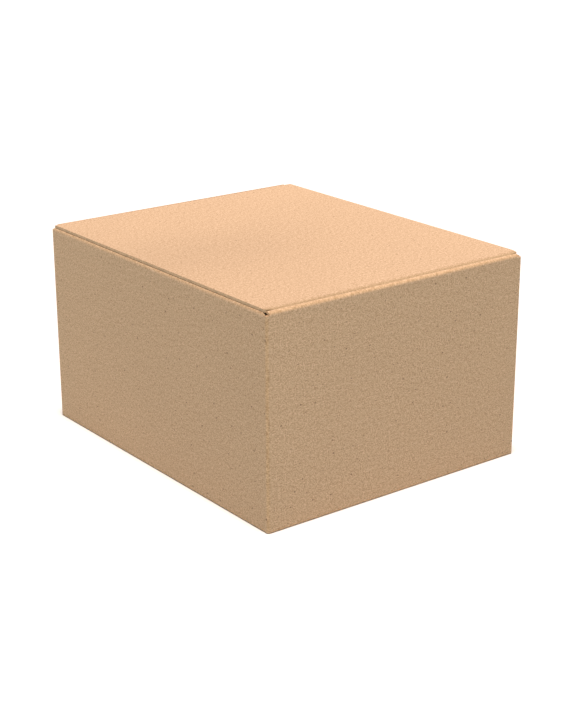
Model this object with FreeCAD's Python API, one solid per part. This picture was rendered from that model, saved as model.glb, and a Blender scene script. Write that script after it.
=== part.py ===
"""Closed cardboard carton, folded from one sheet of single wall corrugated board.

The carton stands on its base. Its origin is at the middle of the base, +Z is up, X runs
along the hinge wall and Y runs from the hinge wall to the tuck wall. Sizes are in millimetres.

The sheet is a tube of four walls closed by a glued tab. Its base is two inner flaps with two
outer flaps glued under them. Its top is two dust flaps with one full lid over them, hinged at
one short wall, with a tuck flap that slides in behind the opposite wall.
"""

import FreeCAD
import Part
import math
import os

# Outside of the closed carton
BOX_WIDTH = 291.0
BOX_DEPTH = 352.0
BOX_HEIGHT = 199.0

# Board and its folds
BOARD = 2.5
FOLD_INSIDE_RADIUS = 0.5
FOLD_SLOT = 3.5

# Lid, hinged along the top of the wall at -Y
LID_SIDE_INSET = 1.5
LID_CLEARANCE = 0.2
HINGE_INSIDE_RADIUS = 0.75
HINGE_GAP = 0.3
HINGE_LIFT = 0.2
BEAD_DROP = 1.25
GROOVE_DEPTH = 0.4
GROOVE_RUN = 1.5
SHOULDER_RUN = 6.25
LID_CORNER_RADIUS = 1.2

# Tuck flap at the free end of the lid
TUCK_LENGTH = 40.0
TUCK_CLEARANCE = 0.5
TUCK_LEAN = 4.0
TUCK_END_CLEARANCE = 1.0
TUCK_TAPER = 9.0
TUCK_CORNER_RADIUS = 14.0

# Dust flaps along the two long walls, under the lid
DUST_LENGTH = 110.0
DUST_HINGE_TAPER = 3.0
DUST_TUCK_TAPER = 11.0
DUST_CORNER_RADIUS = 12.0
DUST_CLEARANCE = 0.5
DUST_TUCK_CLEARANCE = 2.0

# Raw top edge of the wall that the tuck flap slides behind
TUCK_WALL_DROP = 0.9
TUCK_WALL_CORNER_RUN = 4.0

# Base flaps
BASE_SEAM = 1.0
BASE_INNER_LENGTH = 145.0
BASE_STEP_RUN = 8.5
BASE_END_CLEARANCE = 0.6
BASE_CORNER_LIFT = 1.2

# Glued tab inside the wall at +X
TAB_WIDTH = 35.0
TAB_END_TAPER = 12.0
TAB_TOP_CLEARANCE = 6.0
TAB_SETBACK = 0.4

# Worked out from the sizes above
HALF_WIDTH = BOX_WIDTH / 2
HALF_DEPTH = BOX_DEPTH / 2
FOLD_RADIUS = FOLD_INSIDE_RADIUS + BOARD
LID_UNDERSIDE = BOX_HEIGHT - BOARD
DUST_TOP = LID_UNDERSIDE - LID_CLEARANCE
DUST_FOLD_START = DUST_TOP - FOLD_RADIUS
HINGE_RADIUS = HINGE_INSIDE_RADIUS + BOARD
BEAD_TOP = BOX_HEIGHT - BEAD_DROP
HINGE_FOLD_START = BEAD_TOP - HINGE_RADIUS
WALL_TOP = HINGE_FOLD_START
WALL_BOTTOM = BASE_CORNER_LIFT
SHOULDER_END = HINGE_RADIUS + GROOVE_RUN + SHOULDER_RUN
TUCK_FACE = BOX_DEPTH - BOARD - TUCK_CLEARANCE
TUCK_END_INSET = 2 * BOARD + TUCK_END_CLEARANCE
HINGE_SPLIT = 135.0
HALF_GAP_ANGLE = math.degrees(HINGE_GAP / 2 / HINGE_RADIUS)
BEYOND = 20.0


def direction(degrees):
    """Unit vector in a drawing plane."""
    angle = math.radians(degrees)
    return FreeCAD.Vector(math.cos(angle), math.sin(angle), 0)


def hinge_wall_plane(point):
    """Section across the hinge: first the way in from the wall at -Y, then the height."""
    return FreeCAD.Vector(0, point.x - HALF_DEPTH, point.y)


def side_wall_plane(point):
    """Section across the wall at +X: first the way in from it, then the height."""
    return FreeCAD.Vector(HALF_WIDTH - point.x, 0, point.y)


def plan_plane(point):
    """Plan view at the level of the base."""
    return FreeCAD.Vector(point.x, point.y, 0)


class Sheet:
    """Edge view of the board, drawn along its outer face with the board on the right hand."""

    def __init__(self, place, start, heading):
        self.place = place
        self.heading = heading
        self.outer_point = start
        self.inner_point = start + self.right() * BOARD
        self.start_line = self.line(self.inner_point, self.outer_point)
        self.outer = []
        self.inner = []

    def right(self):
        return direction(self.heading - 90)

    def line(self, start, end):
        return Part.LineSegment(self.place(start), self.place(end)).toShape()

    def straight(self, length):
        """A flat run of board."""
        move = direction(self.heading) * length
        self.outer.append(self.line(self.outer_point, self.outer_point + move))
        self.inner.append(self.line(self.inner_point, self.inner_point + move))
        self.outer_point = self.outer_point + move
        self.inner_point = self.inner_point + move
        return self

    def arc(self, centre, radius, start_angle, turn):
        """An arc about centre, turning to the right."""
        angles = (start_angle, start_angle - turn / 2, start_angle - turn)
        points = [self.place(centre + direction(angle) * radius) for angle in angles]
        return Part.Arc(*points).toShape()

    def fold(self, turn, inside_radius):
        """A fold to the right about the inner face."""
        outside_radius = inside_radius + BOARD
        centre = self.outer_point + self.right() * outside_radius
        start_angle = self.heading + 90
        self.outer.append(self.arc(centre, outside_radius, start_angle, turn))
        self.inner.append(self.arc(centre, inside_radius, start_angle, turn))
        self.heading -= turn
        self.outer_point = centre + direction(start_angle - turn) * outside_radius
        self.inner_point = centre + direction(start_angle - turn) * inside_radius
        return self

    def ease(self, start, end):
        """A smooth step from start to end that leaves and arrives along the board."""
        ahead = direction(self.heading)
        half_run = ahead * (ahead.dot(end - start) / 2)
        curve = Part.BezierCurve()
        curve.setPoles([self.place(p) for p in (start, start + half_run, end - half_run, end)])
        return curve.toShape()

    def step(self, run, outer_shift, inner_shift):
        """A run over which each face moves sideways, to the right where positive."""
        ahead = direction(self.heading) * run
        outer_end = self.outer_point + ahead + self.right() * outer_shift
        inner_end = self.inner_point + ahead + self.right() * inner_shift
        self.outer.append(self.ease(self.outer_point, outer_end))
        self.inner.append(self.ease(self.inner_point, inner_end))
        self.outer_point = outer_end
        self.inner_point = inner_end
        return self

    def solid(self, start_offset, extrusion):
        """The drawn board, carried from start_offset along extrusion."""
        end_line = self.line(self.outer_point, self.inner_point)
        edges = [self.start_line, *self.outer, end_line, *self.inner]
        face = Part.Face(Part.Wire(Part.__sortEdges__(edges)))
        face.translate(start_offset)
        return face.extrude(extrusion)


def rounded_outline(points):
    """Closed wire in plan through (x, y, corner radius) points."""
    corners = [FreeCAD.Vector(x, y, 0) for x, y, _ in points]
    edges = []
    ends = []
    for index, (_, _, radius) in enumerate(points):
        corner = corners[index]
        back = (corners[index - 1] - corner).normalize()
        ahead = (corners[(index + 1) % len(points)] - corner).normalize()
        if radius == 0:
            ends.append((corner, corner))
            continue
        half_angle = back.getAngle(ahead) / 2
        reach = radius / math.tan(half_angle)
        centre = corner + (back + ahead).normalize() * (radius / math.sin(half_angle))
        middle = centre + (corner - centre).normalize() * radius
        ends.append((corner + back * reach, corner + ahead * reach))
        edges.append(Part.Arc(ends[-1][0], middle, ends[-1][1]).toShape())
    for index, (start, _) in enumerate(ends):
        edges.append(Part.LineSegment(ends[index - 1][1], start).toShape())
    return Part.Wire(Part.__sortEdges__(edges))


def upright_prism(points, bottom, top):
    """Prism over a rounded plan outline."""
    face = Part.Face(rounded_outline(points))
    face.translate(FreeCAD.Vector(0, 0, bottom))
    return face.extrude(FreeCAD.Vector(0, 0, top - bottom))


def block(x_range, y_range, z_range):
    """Box between two values along each axis."""
    ranges = (x_range, y_range, z_range)
    sizes = [high - low for low, high in ranges]
    return Part.makeBox(*sizes, FreeCAD.Vector(*[low for low, _ in ranges]))


def mirrored_in_x(shape):
    """The same shape at the opposite long wall."""
    return shape.mirror(FreeCAD.Vector(0, 0, 0), FreeCAD.Vector(1, 0, 0))


def mirrored_in_y(shape):
    """The same shape at the opposite short wall."""
    return shape.mirror(FreeCAD.Vector(0, 0, 0), FreeCAD.Vector(0, 1, 0))


def wall_tube():
    """Four walls folded round three corners, with the fourth corner left to the tab."""
    turn = 2 * FOLD_RADIUS
    tube = Sheet(plan_plane, FreeCAD.Vector(HALF_WIDTH, HALF_DEPTH - TAB_SETBACK, 0), -90)
    tube.straight(BOX_DEPTH - TAB_SETBACK - FOLD_RADIUS)
    tube.fold(90, FOLD_INSIDE_RADIUS)
    tube.straight(BOX_WIDTH - turn)
    tube.fold(90, FOLD_INSIDE_RADIUS)
    tube.straight(BOX_DEPTH - turn)
    tube.fold(90, FOLD_INSIDE_RADIUS)
    tube.straight(HALF_WIDTH - FOLD_RADIUS)
    base = FreeCAD.Vector(0, 0, WALL_BOTTOM)
    return tube.solid(base, FreeCAD.Vector(0, 0, WALL_TOP - WALL_BOTTOM))


def glued_tab():
    """The rest of the tuck wall, folded round the last corner and glued inside the wall at +X."""
    strip = Sheet(plan_plane, FreeCAD.Vector(0, HALF_DEPTH, 0), 0)
    strip.straight(HALF_WIDTH - BOARD - FOLD_RADIUS)
    strip.fold(90, FOLD_INSIDE_RADIUS)
    strip.straight(TAB_WIDTH)
    base = FreeCAD.Vector(0, 0, WALL_BOTTOM)
    solid = strip.solid(base, FreeCAD.Vector(0, 0, WALL_TOP - WALL_BOTTOM))
    return solid.cut(tab_trim(WALL_TOP - TAB_TOP_CLEARANCE, BOX_HEIGHT)).cut(
        tab_trim(WALL_BOTTOM + TAB_TOP_CLEARANCE, -BEYOND)
    )


def tab_trim(level, limit):
    """Waste beyond one slanted end of the tab, from level at its fold out to limit."""
    fold_y = HALF_DEPTH - FOLD_RADIUS
    tab_end_y = fold_y - TAB_WIDTH
    inward = math.copysign(TAB_END_TAPER, level - limit)
    points = [
        (fold_y, level),
        (tab_end_y, level + inward),
        (tab_end_y - BEYOND, level + inward),
        (tab_end_y - BEYOND, limit),
        (fold_y, limit),
        (fold_y, level),
    ]
    outer_x = HALF_WIDTH - BOARD
    wire = Part.makePolygon([FreeCAD.Vector(outer_x, y, z) for y, z in points])
    return Part.Face(wire).extrude(FreeCAD.Vector(-2 * BOARD, 0, 0))


def hinge_fold():
    """Top of the hinge wall, curling in as far as the crease where the lid starts to turn."""
    turn = 180 - HINGE_SPLIT - HALF_GAP_ANGLE
    fold = Sheet(hinge_wall_plane, FreeCAD.Vector(0, HINGE_FOLD_START - BOARD, 0), 90)
    fold.straight(BOARD)
    fold.fold(turn, HINGE_INSIDE_RADIUS)
    half_length = HALF_WIDTH - FOLD_SLOT
    return fold.solid(FreeCAD.Vector(-half_length, 0, 0), FreeCAD.Vector(2 * half_length, 0, 0))


def dust_flap_outline():
    """Plan of the dust flap at +X, with its relief at the hinge and its notch for the tuck."""
    root_x = HALF_WIDTH
    tip_x = HALF_WIDTH - DUST_LENGTH
    relief_x = HALF_WIDTH - LID_SIDE_INSET - DUST_CLEARANCE
    hinge_y = -HALF_DEPTH + FOLD_SLOT
    relief_y = -HALF_DEPTH + SHOULDER_END + DUST_CLEARANCE
    hinge_rise = math.tan(math.radians(DUST_HINGE_TAPER)) * (relief_x - tip_x)
    tuck_y = HALF_DEPTH - FOLD_SLOT
    notch_y = HALF_DEPTH - 2 * BOARD - TUCK_CLEARANCE - DUST_TUCK_CLEARANCE
    notch_start_x = HALF_WIDTH - FOLD_RADIUS
    notch_end_x = HALF_WIDTH - TUCK_END_INSET + DUST_CLEARANCE
    tuck_drop = math.tan(math.radians(DUST_TUCK_TAPER)) * (notch_end_x - tip_x)
    return [
        (root_x, hinge_y, 0),
        (root_x, tuck_y, 0),
        (notch_start_x, tuck_y, 0),
        (notch_end_x, notch_y, 0),
        (tip_x, notch_y - tuck_drop, DUST_CORNER_RADIUS),
        (tip_x, relief_y + hinge_rise, DUST_CORNER_RADIUS),
        (relief_x, relief_y, 0),
    ]


def dust_flap():
    """Dust flap at +X, folded in level just under the lid."""
    flap = Sheet(side_wall_plane, FreeCAD.Vector(0, DUST_FOLD_START, 0), 90)
    flap.fold(90, FOLD_INSIDE_RADIUS)
    flap.straight(DUST_LENGTH - FOLD_RADIUS)
    solid = flap.solid(FreeCAD.Vector(0, -HALF_DEPTH, 0), FreeCAD.Vector(0, BOX_DEPTH, 0))
    return solid.common(upright_prism(dust_flap_outline(), DUST_FOLD_START, BOX_HEIGHT))


def dust_fold_room():
    """Wall to take away at +X where the dust flap starts to fold."""
    x_range = (HALF_WIDTH - BOARD, HALF_WIDTH)
    y_range = (-HALF_DEPTH + FOLD_SLOT, HALF_DEPTH - FOLD_SLOT)
    return block(x_range, y_range, (DUST_FOLD_START, BOX_HEIGHT))


def tuck_wall_edge():
    """Raw top edge of the wall at +Y, which slopes down at both corners."""
    root = HALF_WIDTH - FOLD_RADIUS
    top = root - TUCK_WALL_CORNER_RUN
    level = BOX_HEIGHT - TUCK_WALL_DROP
    points = [(-root, WALL_TOP), (-top, level), (top, level), (root, WALL_TOP), (-root, WALL_TOP)]
    wire = Part.makePolygon([FreeCAD.Vector(x, HALF_DEPTH - BOARD, z) for x, z in points])
    return Part.Face(wire).extrude(FreeCAD.Vector(0, BOARD, 0))


def base_outer_outline():
    """Plan of the outer base flap at +X, cut back where the inner flaps step down to their folds."""
    root_x = HALF_WIDTH
    relief_x = HALF_WIDTH - FOLD_RADIUS
    seam_x = BASE_SEAM / 2
    root_y = HALF_DEPTH - FOLD_SLOT
    end_y = HALF_DEPTH - FOLD_RADIUS - BASE_STEP_RUN - BASE_END_CLEARANCE
    half = [(root_x, root_y, 0), (relief_x, end_y, 0), (seam_x, end_y, 0)]
    return half + [(x, -y, radius) for x, y, radius in reversed(half)]


def base_outer_flap():
    """Outer base flap at +X, which reaches to the seam along the middle of the base."""
    length = HALF_WIDTH - BASE_SEAM / 2
    flap = Sheet(side_wall_plane, FreeCAD.Vector(length, 0, 0), 180)
    flap.straight(length - FOLD_RADIUS)
    flap.fold(90, FOLD_INSIDE_RADIUS)
    solid = flap.solid(FreeCAD.Vector(0, -HALF_DEPTH, 0), FreeCAD.Vector(0, BOX_DEPTH, 0))
    return solid.common(upright_prism(base_outer_outline(), 0, FOLD_RADIUS))


def base_inner_flap():
    """Inner base flap at -Y, which steps up from its fold to lie on the outer flaps."""
    flap = Sheet(hinge_wall_plane, FreeCAD.Vector(BASE_INNER_LENGTH, BOARD, 0), 180)
    flap.straight(BASE_INNER_LENGTH - BASE_STEP_RUN - FOLD_RADIUS)
    flap.step(BASE_STEP_RUN, -BOARD, -BOARD)
    flap.fold(90, FOLD_INSIDE_RADIUS)
    half_length = HALF_WIDTH - FOLD_SLOT
    return flap.solid(FreeCAD.Vector(-half_length, 0, 0), FreeCAD.Vector(2 * half_length, 0, 0))


def base_fold_room():
    """Wall to take away at the foot of each wall where its base flap folds in."""
    along_x = (-HALF_WIDTH + FOLD_SLOT, HALF_WIDTH - FOLD_SLOT)
    along_y = (-HALF_DEPTH + FOLD_SLOT, HALF_DEPTH - FOLD_SLOT)
    side = block((HALF_WIDTH - BOARD, HALF_WIDTH), along_y, (0, FOLD_RADIUS))
    end = block(along_x, (-HALF_DEPTH, -HALF_DEPTH + BOARD), (0, FOLD_RADIUS))
    return [side, mirrored_in_x(side), end, mirrored_in_y(end)]


def carton_body():
    """Everything of the sheet that stays put while the lid turns."""
    tube = wall_tube().fuse(glued_tab())
    dust_room = dust_fold_room()
    tube = tube.cut([dust_room, mirrored_in_x(dust_room), *base_fold_room()])
    dust = dust_flap()
    outer = base_outer_flap()
    inner = base_inner_flap()
    pieces = [
        hinge_fold(),
        tuck_wall_edge(),
        dust,
        mirrored_in_x(dust),
        outer,
        mirrored_in_x(outer),
        inner,
        mirrored_in_y(inner),
    ]
    return tube.fuse(pieces).removeSplitter()


def lid_outline():
    """Plan of the lid panel, narrower at the hinge where the slots are cut."""
    fold_x = HALF_WIDTH - FOLD_SLOT
    side_x = HALF_WIDTH - LID_SIDE_INSET
    hinge_y = -HALF_DEPTH
    corner_y = hinge_y + HINGE_RADIUS + GROOVE_RUN
    end_y = HALF_DEPTH
    right = [
        (fold_x, hinge_y, 0),
        (fold_x, corner_y, 0),
        (side_x, corner_y, LID_CORNER_RADIUS),
        (side_x, end_y, 0),
    ]
    return right + [(-x, y, radius) for x, y, radius in reversed(right)]


def tuck_outline():
    """Front view of the tuck flap, narrower towards its tip and rounded at its corners."""
    root_x = HALF_WIDTH - TUCK_END_INSET
    tip_x = root_x - TUCK_TAPER
    root_z = LID_UNDERSIDE
    tip_z = BOX_HEIGHT - FOLD_RADIUS - TUCK_LENGTH
    half = [(root_x, root_z, 0), (tip_x, tip_z, TUCK_CORNER_RADIUS)]
    return half + [(-x, z, radius) for x, z, radius in reversed(half)]


def top_lid():
    """Lid panel with its half of the hinge fold at one end and the tuck flap at the other."""
    split = HINGE_SPLIT - HALF_GAP_ANGLE
    centre = FreeCAD.Vector(HINGE_RADIUS, HINGE_FOLD_START, 0)
    start = centre + direction(split) * HINGE_RADIUS
    lid = Sheet(hinge_wall_plane, start, split - 90)
    lid.fold(split - 90, HINGE_INSIDE_RADIUS)
    lid.step(GROOVE_RUN, GROOVE_DEPTH, 0)
    lid.step(SHOULDER_RUN, -GROOVE_DEPTH - BEAD_DROP, -BEAD_DROP)
    lid.straight(TUCK_FACE - FOLD_RADIUS - SHOULDER_END)
    lid.fold(90 + TUCK_LEAN, FOLD_INSIDE_RADIUS)
    lid.straight(TUCK_LENGTH)
    solid = lid.solid(FreeCAD.Vector(-HALF_WIDTH, 0, 0), FreeCAD.Vector(BOX_WIDTH, 0, 0))
    panel = upright_prism(lid_outline(), LID_UNDERSIDE - 2 * BOARD, BOX_HEIGHT + BOARD)
    tuck = upright_prism(tuck_outline(), -HALF_DEPTH, 0)
    tuck.rotate(FreeCAD.Vector(0, 0, 0), FreeCAD.Vector(1, 0, 0), 90)
    below = block((-HALF_WIDTH, HALF_WIDTH), (0, HALF_DEPTH), (0, LID_UNDERSIDE))
    above = solid.common(panel).cut(below)
    return above.fuse(solid.common(tuck)).removeSplitter()


def hinge_axis():
    """A point on the line that the lid turns about, just outside the crease."""
    centre = FreeCAD.Vector(HINGE_RADIUS, HINGE_FOLD_START, 0)
    return hinge_wall_plane(centre + direction(HINGE_SPLIT) * (HINGE_RADIUS + HINGE_LIFT))


def main():
    """Builds each sub-part and writes it to its own STEP file."""
    os.makedirs("parts", exist_ok=True)
    for name, build in (("carton_body", carton_body), ("top_lid", top_lid)):
        shape = build()
        shape.exportStep(f"parts/{name}.step")
        print(name, len(shape.Solids), "solid", round(shape.Volume), "mm3", shape.isValid())
    print("hinge axis through", hinge_axis())


main()
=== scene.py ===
import math

import bmesh
import bpy
from mathutils import Matrix, Vector, noise


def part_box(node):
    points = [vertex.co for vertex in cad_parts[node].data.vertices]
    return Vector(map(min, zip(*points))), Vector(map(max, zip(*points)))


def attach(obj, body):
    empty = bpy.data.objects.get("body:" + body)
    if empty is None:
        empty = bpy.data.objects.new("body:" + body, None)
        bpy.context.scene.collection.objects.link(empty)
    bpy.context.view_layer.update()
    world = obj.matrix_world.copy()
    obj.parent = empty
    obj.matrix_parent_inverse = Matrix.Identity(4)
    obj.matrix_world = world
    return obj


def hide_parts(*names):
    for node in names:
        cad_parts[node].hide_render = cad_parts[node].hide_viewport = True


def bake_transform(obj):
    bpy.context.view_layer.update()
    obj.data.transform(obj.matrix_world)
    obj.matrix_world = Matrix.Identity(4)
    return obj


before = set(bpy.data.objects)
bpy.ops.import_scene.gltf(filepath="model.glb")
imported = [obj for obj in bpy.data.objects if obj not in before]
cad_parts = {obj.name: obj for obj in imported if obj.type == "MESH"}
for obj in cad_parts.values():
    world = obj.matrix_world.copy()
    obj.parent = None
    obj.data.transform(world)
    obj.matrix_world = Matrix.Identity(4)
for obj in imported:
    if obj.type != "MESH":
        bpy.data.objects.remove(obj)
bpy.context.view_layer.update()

# Sizes of the carton in metres, as in the frame
MM = 0.001
body_low, body_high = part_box("carton_body")
HALF_WIDTH = body_high[0]
HALF_DEPTH = body_high[1]
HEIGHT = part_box("top_lid")[1][2]
BOARD = 2.5 * MM
FOLD_INSIDE = 0.5 * MM
FOLD_RADIUS = FOLD_INSIDE + BOARD
FOOT_SQUARE = 0.4 * MM
FOOT_TURN = 0.3 * MM
FOLD_SLOT = 3.1 * MM
FAR_HINGE_SLOT = 5.2 * MM
LID_SIDE_INSET = 1.87 * MM
LID_CLEARANCE = 0.2 * MM
HINGE_INSIDE = 0.75 * MM
HINGE_RADIUS = HINGE_INSIDE + BOARD
BEAD_DROP = 1.25 * MM
GROOVE_DEPTH = 0.4 * MM
GROOVE_RUN = 1.5 * MM
SHOULDER_RUN = 6.25 * MM
LID_CORNER_RADIUS = 1.2 * MM
TUCK_LENGTH = 40 * MM
TUCK_CLEARANCE = 0.5 * MM
TUCK_LEAN = 4.0
TUCK_END_INSET = 6 * MM
TUCK_TAPER = 9 * MM
TUCK_CORNER_RADIUS = 14 * MM
TUCK_NOTCH_SHARE = 0.6
DUST_LENGTH = 110 * MM
DUST_HINGE_TAPER = 3.0
DUST_TUCK_TAPER = 11.0
DUST_CORNER_RADIUS = 12 * MM
TUCK_WALL_DROP = 0.9 * MM
TUCK_WALL_CORNER_RUN = 4 * MM
BASE_SEAM = 1 * MM
BASE_INNER_LENGTH = 145 * MM
BASE_STEP_RUN = 8.5 * MM
BASE_END_CLEARANCE = 0.6 * MM
BASE_CORNER_LIFT = 0.6 * MM
TAB_WIDTH = 35 * MM
TAB_END_TAPER = 12 * MM
TAB_END_CLEARANCE = 6 * MM
TAB_SETBACK = 0.4 * MM
DUST_RELIEF = 0.5 * MM
DUST_NOTCH_CLEARANCE = 2 * MM
DUST_NOTCH_RUN = 2.5 * MM

DUST_TOP = HEIGHT - BOARD - LID_CLEARANCE
DUST_FOLD_START = DUST_TOP - FOLD_RADIUS
HINGE_FOLD_START = HEIGHT - BEAD_DROP - HINGE_RADIUS
WALL_TOP = HINGE_FOLD_START
SHOULDER_END = HINGE_RADIUS + GROOVE_RUN + SHOULDER_RUN
HINGE_SKIN_FOOT = HEIGHT - 8 * MM
HINGE_SKIN_END = 16 * MM

# The board's own make-up at its raw edges
LINER = 0.3 * MM
FLUTE_PITCH = 6.5 * MM
FLUTE_DEPTH = 1.5 * MM
FLUTE_PAPER = 0.22 * MM
FLUTE_STEPS = 10
FLUTE_SLANT = 0.5
CRUSHED_DEPTH = 0.15 * MM
CRUSHED_FLUTE_DEPTH = 0.3 * MM

# How finely the meshes are cut
FOLD_STEPS = 10
STEP_STEPS = 10
TIP_STEPS = 8
PANEL_STEP = 14 * MM
TOP_EDGE_STEP = 1.2 * MM
HINGE_STEP = 1.5 * MM
HINGE_LID_STEP = 2.5 * MM
HINGE_COLUMN_STEP = 3 * MM
SUPPORT = 0.7 * MM
FLAP_ROOT = 3 * SUPPORT
HAIR = 0.02 * MM
WELD = 0.001 * MM
SHARP_ANGLE = 35

# Where each strip lies in the paper's grain, and the seeds of the waves, so that none repeats
SIDE_WALL_SHIFT = 3 * HALF_WIDTH
TUCK_WALL_SHIFT = 7 * HALF_WIDTH
CORNER_SHIFT = 9 * HALF_WIDTH
TAB_SHIFT = 11 * HALF_WIDTH
SIDE_WAVE_SEED = 1.3
END_WAVE_SEED = 5.1
LID_WAVE_SEED = 9.0


def direction(degrees):
    """Unit vector in a drawing plane."""
    return Vector((math.cos(math.radians(degrees)), math.sin(math.radians(degrees))))


def smooth(low, high, value):
    """0 below low, 1 above high, and an even rise between them."""
    share = min(1.0, max(0.0, (value - low) / (high - low)))
    return share * share * (3 - 2 * share)


def spread(start, end, step=PANEL_STEP):
    """Values from start to end, about step apart, with one close to each end."""
    count = max(1, round(abs(end - start) / step))
    values = [start + (end - start) * i / count for i in range(count + 1)]
    if abs(end - start) > 3 * SUPPORT:
        nudge = math.copysign(SUPPORT, end - start)
        values = [start, start + nudge, *values[1:-1], end - nudge, end]
    return values


class Station:
    """One line across the board: its outer and inner face, its place along the sheet and its crease."""

    def __init__(self, outer, inner, along, crease):
        self.outer = outer
        self.inner = inner
        self.along = along
        self.crease = crease


class SheetPath:
    """The board seen edge on, drawn along its outer face with the board on the right hand."""

    def __init__(self, start, heading, along=0.0):
        self.heading = heading
        self.stations = [Station(start, start + self.right() * BOARD, along, 0.0)]

    def right(self):
        return direction(self.heading - 90)

    def add(self, outer, inner, step, crease=0.0):
        self.stations.append(Station(outer, inner, self.stations[-1].along + step, crease))

    def straight(self, length, step=PANEL_STEP):
        """A flat run of board."""
        first = self.stations[-1]
        ahead = direction(self.heading)
        done = 0.0
        for value in spread(0.0, length, step)[1:]:
            self.add(first.outer + ahead * value, first.inner + ahead * value, value - done)
            done = value

    def fold(self, turn, inside_radius, crease=1.0, square=0.0):
        """A fold to the right about the inner face; square is how far the outer one is out of round."""
        outside = inside_radius + BOARD
        centre = self.stations[-1].outer + self.right() * outside
        start = self.heading + 90
        step = math.radians(turn) * (inside_radius + outside) / 2 / FOLD_STEPS
        for i in range(1, FOLD_STEPS + 1):
            toward = direction(start - turn * i / FOLD_STEPS)
            middle = math.sin(math.pi * i / FOLD_STEPS)
            reach = outside + square * middle ** 4
            self.add(centre + toward * reach, centre + toward * inside_radius, step, crease * middle)
        self.heading -= turn

    def step(self, run, outer_shift, inner_shift):
        """A run over which each face moves sideways, to the right where positive."""
        first = self.stations[-1]
        ahead = direction(self.heading)
        for i in range(1, STEP_STEPS + 1):
            share = i / STEP_STEPS
            move = ahead * (run * share)
            rise = smooth(0, 1, share)
            outer = first.outer + move + self.right() * (outer_shift * rise)
            inner = first.inner + move + self.right() * (inner_shift * rise)
            self.add(outer, inner, run / STEP_STEPS)

    def here(self):
        return self.stations[-1].along


# Painted light and shade over the lid and the two walls in view, as shares of the paper's brightness: a
# painted shadow across the lid, lighter to its right and far end, and painted shade on the walls,
# lighter towards their top
LID_TONE = 1.004
LID_PAINTED_SHADOW = 0.072
LID_PAINTED_SHADOW_REACH = 0.42 * HALF_DEPTH
LID_PAINTED_LIGHT_ACROSS = 0.024
LID_PAINTED_LIGHT_ALONG = 0.022
SIDE_WALL_PAINTED_SHADE = 0.96
SIDE_WALL_PAINTED_LIGHT_ALONG = 0.025
HINGE_WALL_PAINTED_SHADE = 0.975
HINGE_WALL_PAINTED_SHADE_ACROSS = 0.015
WALL_PAINTED_LIGHT_UP = 0.02


def painted_light_and_shade(co):
    """Broad soft painted light and shade over the faces in the camera's view, as a share of the paper's
    brightness.
    """
    x, y, z = co
    right = x / HALF_WIDTH
    far = y / HALF_DEPTH
    up = z / HEIGHT
    if z > HEIGHT - BOARD:
        painted_shadow = math.exp(-((y / LID_PAINTED_SHADOW_REACH) ** 2)) * (1 - smooth(-0.5, 0.9, right))
        rise = LID_PAINTED_LIGHT_ACROSS * right + LID_PAINTED_LIGHT_ALONG * smooth(0.1, 1.0, far)
        return LID_TONE - LID_PAINTED_SHADOW * painted_shadow + rise
    if x < -HALF_WIDTH + FOLD_RADIUS:
        return SIDE_WALL_PAINTED_SHADE + SIDE_WALL_PAINTED_LIGHT_ALONG * far + WALL_PAINTED_LIGHT_UP * up
    if y < -HALF_DEPTH + FOLD_RADIUS:
        return HINGE_WALL_PAINTED_SHADE - HINGE_WALL_PAINTED_SHADE_ACROSS * right + WALL_PAINTED_LIGHT_UP * up
    return 1.0


class Mesh:
    """Collects the points and faces of one piece, with each point's place on the board."""

    def __init__(self):
        self.points = []
        self.places = []
        self.creases = []
        self.painted_light_shares = []
        self.faces = []
        self.slots = []

    def point(self, co, place, crease=0.0):
        self.points.append(co)
        self.places.append(place)
        self.creases.append(crease)
        self.painted_light_shares.append(painted_light_and_shade(co))
        return len(self.points) - 1

    def face(self, corners, slot):
        self.faces.append(corners)
        self.slots.append(slot)

    def finish(self, name, materials, weld):
        """The object, with its faces turned outwards and its board coordinates as a UV map."""
        mesh = bpy.data.meshes.new(name)
        mesh.from_pydata(self.points, [], self.faces)
        mesh.polygons.foreach_set("material_index", self.slots)
        mesh.polygons.foreach_set("use_smooth", [True] * len(self.faces))
        layer = mesh.uv_layers.new(name="board")
        for loop in mesh.loops:
            layer.data[loop.index].uv = self.places[loop.vertex_index]
        # The crease attribute carries painted highlight with a little wear on folds, and painted shade
        # in the hinge groove and on the dust-flap folds
        fold_light_shade_and_wear = mesh.attributes.new("crease", "FLOAT", "POINT")
        fold_light_shade_and_wear.data.foreach_set("value", self.creases)
        # The tone attribute carries painted light and shade over the lid and the walls in view
        tone = mesh.attributes.new("tone", "FLOAT", "POINT")
        tone.data.foreach_set("value", self.painted_light_shares)
        work = bmesh.new()
        work.from_mesh(mesh)
        if weld:
            bmesh.ops.remove_doubles(work, verts=work.verts, dist=WELD)
        bmesh.ops.recalc_face_normals(work, faces=work.faces)
        for edge in work.edges:
            sharp = len(edge.link_faces) == 2 and edge.calc_face_angle(0.0) > math.radians(SHARP_ANGLE)
            edge.smooth = not sharp
        work.to_mesh(mesh)
        work.free()
        made = bpy.data.objects.new(name, mesh)
        bpy.context.scene.collection.objects.link(made)
        for material in materials:
            mesh.materials.append(material)
        return made


OUTSIDE, INSIDE, CUT, FLUTE = range(4)
START, END, LOW, HIGH = "start", "end", "low", "high"
DEPTHS = {
    "flutes": FLUTE_DEPTH,
    "worn flutes": CRUSHED_FLUTE_DEPTH,
    "crushed": CRUSHED_DEPTH,
    "flush": HAIR,
}


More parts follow.
